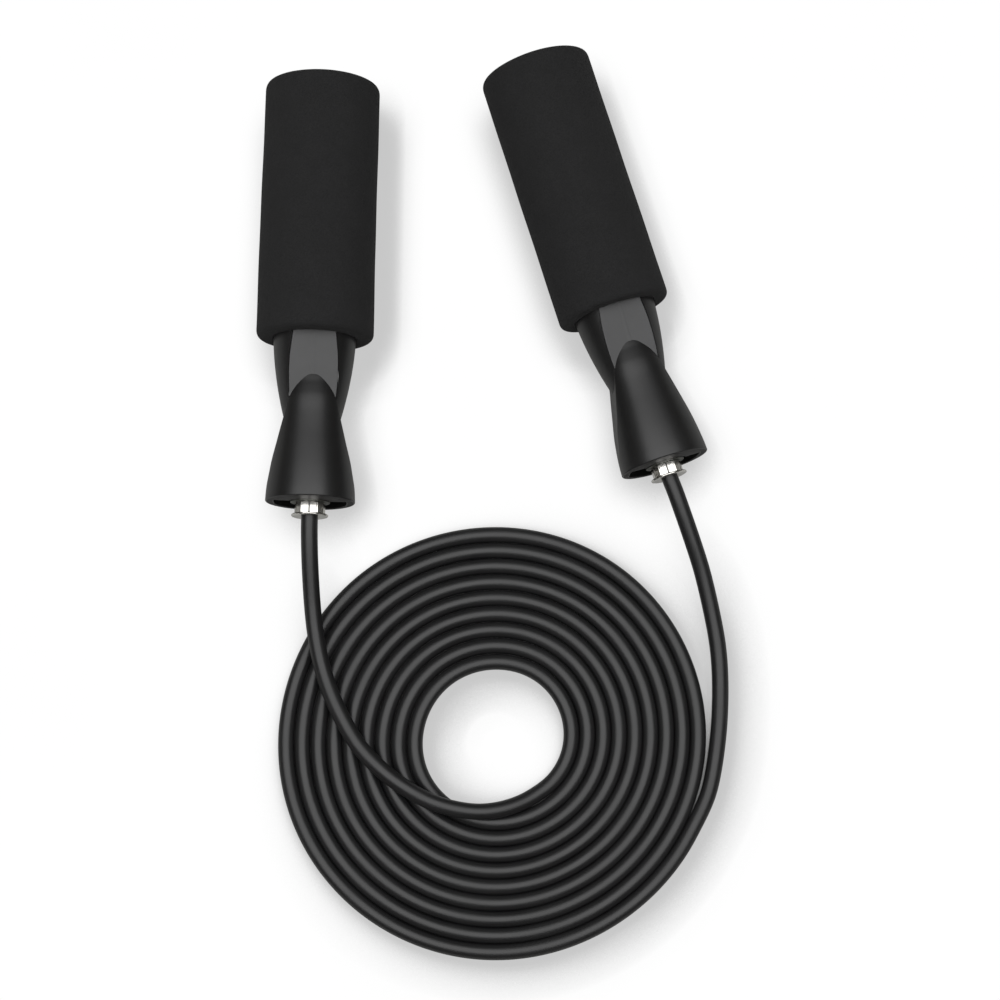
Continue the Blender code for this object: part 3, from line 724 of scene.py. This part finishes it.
def bead_rings(side, sign, run):
    """Rings of the bead on one side: back along its top, then forward along its bottom."""
    line = []
    for up, stations in ((1, run), (-1, run[-2::-1])):
        for station in stations:
            x = bell_side(station) - BEAD_SINK
            line.append((sign * x, math.sqrt(neck_radius(station) ** 2 - x * x) * up, station))
    line = np.array(line)
    along = np.gradient(line, axis=0)
    along /= np.linalg.norm(along, axis=1)[:, None]
    out = line * (1, 1, 0)
    out -= along * (out * along).sum(1)[:, None]
    out /= np.linalg.norm(out, axis=1)[:, None]
    across = np.cross(along, out)
    angle = np.linspace(0, 2 * math.pi, BEAD_SIDES, endpoint=False)[:, None]
    rings = []
    for k in range(len(line)):
        ring = line[k] + BEAD_R * (np.cos(angle) * out[k] + np.sin(angle) * across[k])
        rings.append(in_handle(side, ring[:, 0], ring[:, 1], ring[:, 2]))
    return rings


def build_bell(side):
    """A hollow bell with side facets and a bead where its edge meets the wings."""
    rings = []
    radius, theta = bell_row(RIM + RIM_ROUND)
    for k in range(RIM_STEPS, -1, -1):
        angle = math.radians(90 * k / RIM_STEPS)
        rings.append(polar_ring(side, radius - RIM_ROUND * (1 - math.cos(angle)), theta,
                                RIM + RIM_ROUND * (1 - math.sin(angle))))
    for station in [*np.linspace(0.2, 10, 22), *np.linspace(10.5, 40.5, 76)]:
        rings.append(polar_ring(side, *bell_row(station), station))
    outer = len(rings)
    theta = bell_row(2.0)[1]
    for radius, station in BELL_INSIDE:
        low = np.clip((-np.sin(theta) - 0.1) / 0.55, 0, 1) if station <= 0.0 else 0.0
        rings.append(polar_ring(side, radius + LIP_CUT * smoothstep(low), theta, station))
    rows = len(rings)
    faces = ring_faces(rows, BELL_COLS, close_rows=True)

    # the bead begins at the first station where the facet lies within the neck
    bead_start = next(station for station in np.linspace(22, 32.4, 400)
                      if bell_side(station) <= neck_radius(station))
    run = np.linspace(BEAD_END, bead_start, 26)
    start = rows * BELL_COLS
    for sign in (1, -1):
        bead = bead_rings(side, sign, run)
        faces += capped_faces(len(bead), BEAD_SIDES, start)
        start += BEAD_SIDES * len(bead)
        rings += bead
    bell = make_mesh(side + "_nose_bell", np.concatenate(rings), faces, 24.0)
    finish_piece(bell, "shell", "shell_black", side + "_handle", side + "_nose_shell")

    # material, first and last row of faces
    # painted shade: the bell's inside rows take the darker inside material
    linings = (("inside", outer + 1, rows - 3), ("rim", rows - 1, rows))
    for index, (material, first, last) in enumerate(linings, 1):
        bell.data.materials.append(MAT[material])
        for k in range(first * BELL_COLS, last * BELL_COLS):
            bell.data.polygons[k].material_index = index


def build_wing(side, sign, label):
    """The round cheek of the neck beside the grey panels."""
    rings = []
    for station in np.linspace(25.2, SHOULDER - 0.06, 70):
        radius, inner_x = neck_radius(station), panel_half_width(station) + WING_GAP
        reach = math.acos(inner_x / radius)
        angle = np.linspace(-reach, reach, WING_ARC)
        x, y = radius * np.cos(angle), radius * np.sin(angle)
        chord = np.linspace(y[-1], -y[-1], WING_CHORD + 2)[1:-1]
        x = np.concatenate([x, np.full(WING_CHORD, inner_x)])
        rings.append(in_handle(side, sign * x, np.concatenate([y, chord]), station))
    wing = make_mesh(f"{side}_nose_wing_{label}", np.concatenate(rings),
                     capped_faces(len(rings), WING_ARC + WING_CHORD), 24.0)
    finish_piece(wing, "shell", "shell_black", side + "_handle")


# ---------------------------------------------------------------------------------
# mouth: bearing pocket, shelf, spindle and spacer
# ---------------------------------------------------------------------------------
SHELF_R = 11.3
SHELF_HUB_R = 6.75
SHELF_HUB_UP = 1.8         # height at which the hub's arc starts and ends
# two (x, height) points that set the line of the shelf's lower edges
SHELF_EDGE = ((14.0, 2.7), (6.2, 1.9))
# (station, inset of the outline)
SHELF_LAYERS = ((RIM + 0.06, 0.1), (RIM + 0.16, 0.0), (2.7, 0.0))


def build_pocket(side):
    loop = fillet([(9.95, 10.1), (9.95, 2.6), (8.15, 2.6), (8.15, 8.4), (6.3, 8.4), (6.3, 10.1)],
                  corners=0.18, steps=3)
    obj = revolve(side + "_bearing_pocket", side, dense(loop, 1.2), 96)
    # painted shade: the pocket takes the darker inside material, for the shade in the mouth
    finish_piece(obj, "inside", "carrier_black", side + "_handle", side + "_bearing_carrier")


def shelf_edge(x):
    (far_x, far_up), (near_x, near_up) = SHELF_EDGE
    return far_up + (far_x - x) * (near_up - far_up) / (far_x - near_x)


def arc_points(radius, start, end, count):
    return [(radius * math.cos(angle), radius * math.sin(angle))
            for angle in np.linspace(start, end, count)]


def build_shelf(side):
    """The upper part of a disc nearly flush with the rim, less the two windows below it."""
    outer_x = next(x for x in np.linspace(4, 12, 400)
                   if abs(math.hypot(x, shelf_edge(x)) - SHELF_R) < 0.02)
    outer_angle = math.atan2(shelf_edge(outer_x), outer_x)
    hub_angle = math.asin(SHELF_HUB_UP / SHELF_HUB_R)
    left_edge = [(-x, shelf_edge(x)) for x in np.linspace(outer_x - 0.25, 6.85, 14)]
    right_edge = [(-x, up) for x, up in reversed(left_edge)]
    outline = np.array(arc_points(SHELF_R, outer_angle, math.pi - outer_angle, 72) + left_edge
                       + arc_points(SHELF_HUB_R, math.pi - hub_angle, hub_angle, 56)
                       + right_edge)
    along = np.roll(outline, -1, 0) - np.roll(outline, 1, 0)
    along /= np.linalg.norm(along, axis=1)[:, None]
    normal = np.stack([along[:, 1], -along[:, 0]], 1)
    rings = []
    for station, inset in SHELF_LAYERS:
        loop = outline - normal * inset
        rings.append(in_handle(side, loop[:, 0], loop[:, 1], station))
    shelf = make_mesh(side + "_mouth_shelf", np.concatenate(rings),
                      capped_faces(len(rings), len(outline)), 30.0)
    finish_piece(shelf, "carrier", "carrier_black", side + "_handle")


SPINDLE_COLS = 240
SPINDLE_TURN = {"left": 2.4, "right": 8.4}     # degrees
BORE_R = 2.66
COLLAR_R = 4.85            # at the corners
COLLAR_SIDES = 12
COLLAR_END_R = 4.66        # the collar is trimmed to this where it meets the shaft
SCRIBE_DEPTH = 0.2         # a scribed line at each corner
SCRIBE_FROM, SCRIBE_WIDTH = 11.9, 3.1          # degrees from the middle of a side
# (radius, station)
FLANGE = (
    (BORE_R, -4.3), (BORE_R + 0.35, -4.72), (4.9, -4.9), (5.3, -4.87), (5.6, -4.76),
    (5.73, -4.6), (5.76, -4.45), (5.72, -4.3), (5.6, -4.19), (5.3, -4.12),
)
COLLAR_STATIONS = (-3.98, -3.4, -2.8, -2.2, -1.6, -1.1, -0.8)
SHAFT = (
    (4.45, -0.6), (3.85, -0.6), (3.85, 8.95), (3.5, 8.97), (3.5, 10.03), (3.85, 10.05),
    (3.85, 14.2), (3.6, 14.6), (BORE_R, 14.6),
)


def build_spindle(side):
    """Nickel spindle: flange, twelve-sided collar and grooved shaft, bored for the cord."""
    corner = math.pi / 2 + math.radians(SPINDLE_TURN[side])
    theta = np.linspace(0, 2 * math.pi, SPINDLE_COLS, endpoint=False) + corner
    half_side = math.pi / COLLAR_SIDES
    across = (theta - corner + 1e-9) % (2 * half_side) - half_side
    scribe = (np.abs(across) - math.radians(SCRIBE_FROM)) / math.radians(SCRIBE_WIDTH)
    collar = (COLLAR_R * math.cos(half_side) / np.cos(across)
              - SCRIBE_DEPTH * np.clip(scribe, 0, 1))
    profile = [*FLANGE, (collar + 0.1, -4.08)]
    profile += [(collar, station) for station in COLLAR_STATIONS]
    profile += [(np.minimum(collar, COLLAR_END_R), -0.64), *SHAFT]
    obj = polar_mesh(side + "_spindle_fine", side, profile, theta, 12.0)
    finish_piece(obj, "nickel", "nickel", side + "_tail", side + "_spindle")


def build_spacer(side):
    loop = fillet([(6.2, 2.95), (6.2, -0.46), (4.02, -0.46), (4.02, 2.95)],
                  corners=0.14, steps=4)
    obj = revolve(side + "_spacer_fine", side, dense(loop, 0.8), 96)
    # painted shade: the sleeve takes the darkened zinc
    finish_piece(obj, "zinc", "zinc", side + "_tail", side + "_spacer_sleeve")


# ---------------------------------------------------------------------------------
# end plug, as (radius, station)
# ---------------------------------------------------------------------------------
PLUG = (
    (0.6, 134.1), (8.6, 134.1), (9.3, 134.6), (11.2, 134.6), (12.1, 133.9), (12.1, 133.1),
    (10.2, 133.1), (10.2, 125.4), (9.5, 124.8), (8.0, 124.8), (8.0, 132.0), (0.6, 132.0),
)
PLUG_PIP = ((0.9, 132.4), (0.9, 134.12), (0.55, 134.3), (0.02, 134.36), (0.02, 132.4))


def build_plug(side):
    """A shallow dished cap with a raised rim; a domed pip closes its small middle hole."""
    loop = fillet(PLUG, corners=0.22, steps=4)
    cap = revolve(side + "_plug_fine", side, dense(loop, 1.0), 112)
    finish_piece(cap, "plug", "plug_black", side + "_handle", side + "_end_plug")
    pip = revolve(side + "_plug_pip", side, PLUG_PIP, 32, smooth=50.0)
    finish_piece(pip, "plug", "plug_black", side + "_handle")


for side in SIDES:
    build_foam(side)
    build_core(side)
    build_bell(side)
    build_wing(side, 1, "right")
    build_wing(side, -1, "left")
    build_pocket(side)
    build_shelf(side)
    build_spindle(side)
    build_spacer(side)
    build_plug(side)

# ---------------------------------------------------------------------------------
# CAD nodes that stay: the bearing and the small parts round it
# ---------------------------------------------------------------------------------
CARRIED = {"bearing_inner_ring": "bearing", "bearing_outer_ring": "bearing", "ball_cage": "cage",
           "thrust_washer": "washer", "snap_ring": "spring", "cord_stop": "crimp",
           **{f"ball_{k}": "ball" for k in range(1, 8)}}


def dress_carried(obj, material):
    obj.data.materials.clear()
    obj.data.materials.append(MAT[material])
    obj.data.shade_smooth()
    if material == "ball":
        rounding = obj.modifiers.new("round", "SUBSURF")
        rounding.levels = 2
        rounding.render_levels = 2
    else:
        obj.data.set_sharp_from_angle(angle=math.radians(30))
        bevel = obj.modifiers.new("edges", "BEVEL")
        bevel.width = 0.08 * MM
        bevel.segments = 2
        bevel.limit_method = "ANGLE"
        bevel.angle_limit = math.radians(35)


for side in SIDES:
    for kind, material in CARRIED.items():
        dress_carried(frame["nodes"][f"{side}_{kind}"], material)

# ---------------------------------------------------------------------------------
# floor, in metres
# ---------------------------------------------------------------------------------
FLOOR_HALF = 3.0
FLOOR_DROP = 0.00006
FLOOR_BOUNCE = 0.43        # grey of the floor for all but the camera
# shade close to the rope: tilt in degrees of the light's middle from straight up, reach, weight
SHADE = ((50.0, 0.014, 0.86), (50.0, 0.020, 0.6), (0.0, 0.017, 0.32))
SHADE_FULL, SHADE_DEPTH = 0.605, 0.43  # sum at which the shade is full, and how dark it is then
GAP_REACH = 0.005          # painted shade: narrow gaps within this reach go darker still
LIGHT_FROM = math.radians(134.0)       # about +Z, counted from +X


def floor_material():
    """White to the camera, with shade only close to the rope; plain grey to other rays."""
    material, graph = new_material("white_sweep")
    dark = 0.0
    for tilt, reach, weight in SHADE:
        tilt = math.radians(tilt)
        towards = graph.node("CombineXYZ", {0: math.sin(tilt) * math.cos(LIGHT_FROM),
                                            1: math.sin(tilt) * math.sin(LIGHT_FROM),
                                            2: math.cos(tilt)})
        sky = graph.node("AmbientOcclusion", samples=8, Distance=reach,
                         Normal=towards.outputs[0])
        hidden = graph.combine("SUBTRACT", 1.0, sky.outputs["AO"])
        dark = graph.combine("ADD", graph.combine("MULTIPLY", hidden, weight), dark)
    soft = graph.ramp(dark, low=1.0, high=1.0 - SHADE_DEPTH, at=(0.0, SHADE_FULL),
                      curve="SMOOTHSTEP")
    gap = graph.node("AmbientOcclusion", samples=8, Distance=GAP_REACH)
    in_gap = graph.ramp(gap.outputs["AO"], low=0.015, high=1.0, at=(0.05, 0.4))
    cloud = graph.ramp(graph.noise(scale=9.0, detail=3.0, rough=0.5), low=1.0, high=1.012)
    tone = graph.combine("MULTIPLY", graph.combine("MULTIPLY", soft, cloud), in_gap)
    shown = graph.node("Emission", Color=tone)
    bounced = graph.node("BsdfDiffuse",
                         Color=(FLOOR_BOUNCE, FLOOR_BOUNCE, FLOOR_BOUNCE * 0.98, 1.0))
    shader = graph.split_camera(unseen=bounced.outputs["BSDF"], seen=shown.outputs["Emission"])
    plug(graph.tree.nodes["Material Output"].inputs["Surface"], shader)
    return material


def build_floor():
    bm = bmesh.new()
    bmesh.ops.create_grid(bm, x_segments=8, y_segments=8, size=FLOOR_HALF)
    mesh = bpy.data.meshes.new("floor")
    bm.to_mesh(mesh)
    bm.free()
    floor = bpy.data.objects.new("floor", mesh)
    floor.location = (0, 0, -FLOOR_DROP)
    scene.collection.objects.link(floor)
    mesh.materials.append(floor_material())


# ---------------------------------------------------------------------------------
# room, lights and camera, in metres
# ---------------------------------------------------------------------------------
HORIZON = (0.055, 0.05, 0.042)         # dark and slightly warm
OVERHEAD = (0.14, 0.14, 0.14)
DOME_RISE = (0.2, 0.75)                # z of the direction where the change starts and ends
# two wide overlapping softboxes, the stronger nearer the camera, so that the light fades
# towards +Y: x, y, height, width, depth, radiance
BOXES = ((-0.07, -0.10, 1.0, 1.80, 1.12, 1.5), (-0.07, 0.15, 1.02, 1.80, 1.6, 0.5))


def build_world():
    """A dim dome for the light; plain white to the camera."""
    world = bpy.data.worlds.new("studio")
    scene.world = world
    world.use_nodes = True
    world.node_tree.nodes.clear()
    graph = Graph(world.node_tree)
    split = graph.node("SeparateXYZ", Vector=graph.coords.outputs["Generated"])
    rise = graph.ramp(split.outputs["Z"], low=0.0, high=1.0, at=DOME_RISE, curve="SMOOTHSTEP")
    lit = graph.node("Background", Color=graph.tint(rise, low=HORIZON, high=OVERHEAD))
    seen = graph.node("Background", Color=(1, 1, 1, 1))
    shader = graph.split_camera(unseen=lit.outputs["Background"],
                                seen=seen.outputs["Background"])
    graph.node("OutputWorld", Surface=shader)


def build_softbox(name, x, y, height, width, depth, radiance):
    """A rectangular light that faces straight down."""
    light = bpy.data.lights.new(name, "AREA")
    light.shape = "RECTANGLE"
    light.size = width
    light.size_y = depth
    light.energy = radiance * math.pi * width * depth
    obj = bpy.data.objects.new(name, light)
    obj.location = (x, y, height)
    obj.rotation_euler = Vector((0.0, 0.0, -height)).to_track_quat("-Z", "Y").to_euler()
    scene.collection.objects.link(obj)


def build_camera():
    camera = bpy.data.cameras.new("camera")
    camera.lens = 84.7
    camera.sensor_width = 36.0
    camera.clip_start = 0.01
    camera.clip_end = 20.0
    eye = bpy.data.objects.new("camera", camera)
    eye.location = (0.0024, -0.1294, 0.7398)
    eye.rotation_euler = (math.radians(10.0), 0.0, 0.0)
    scene.collection.objects.link(eye)
    scene.camera = eye


scene = bpy.context.scene
build_floor()
build_world()
for k, box in enumerate(BOXES):
    build_softbox(f"overhead_{k}", *box)
build_camera()

scene.view_settings.view_transform = "Standard"
scene.view_settings.look = "None"
scene.view_settings.exposure = 0.0
scene.view_settings.gamma = 1.0
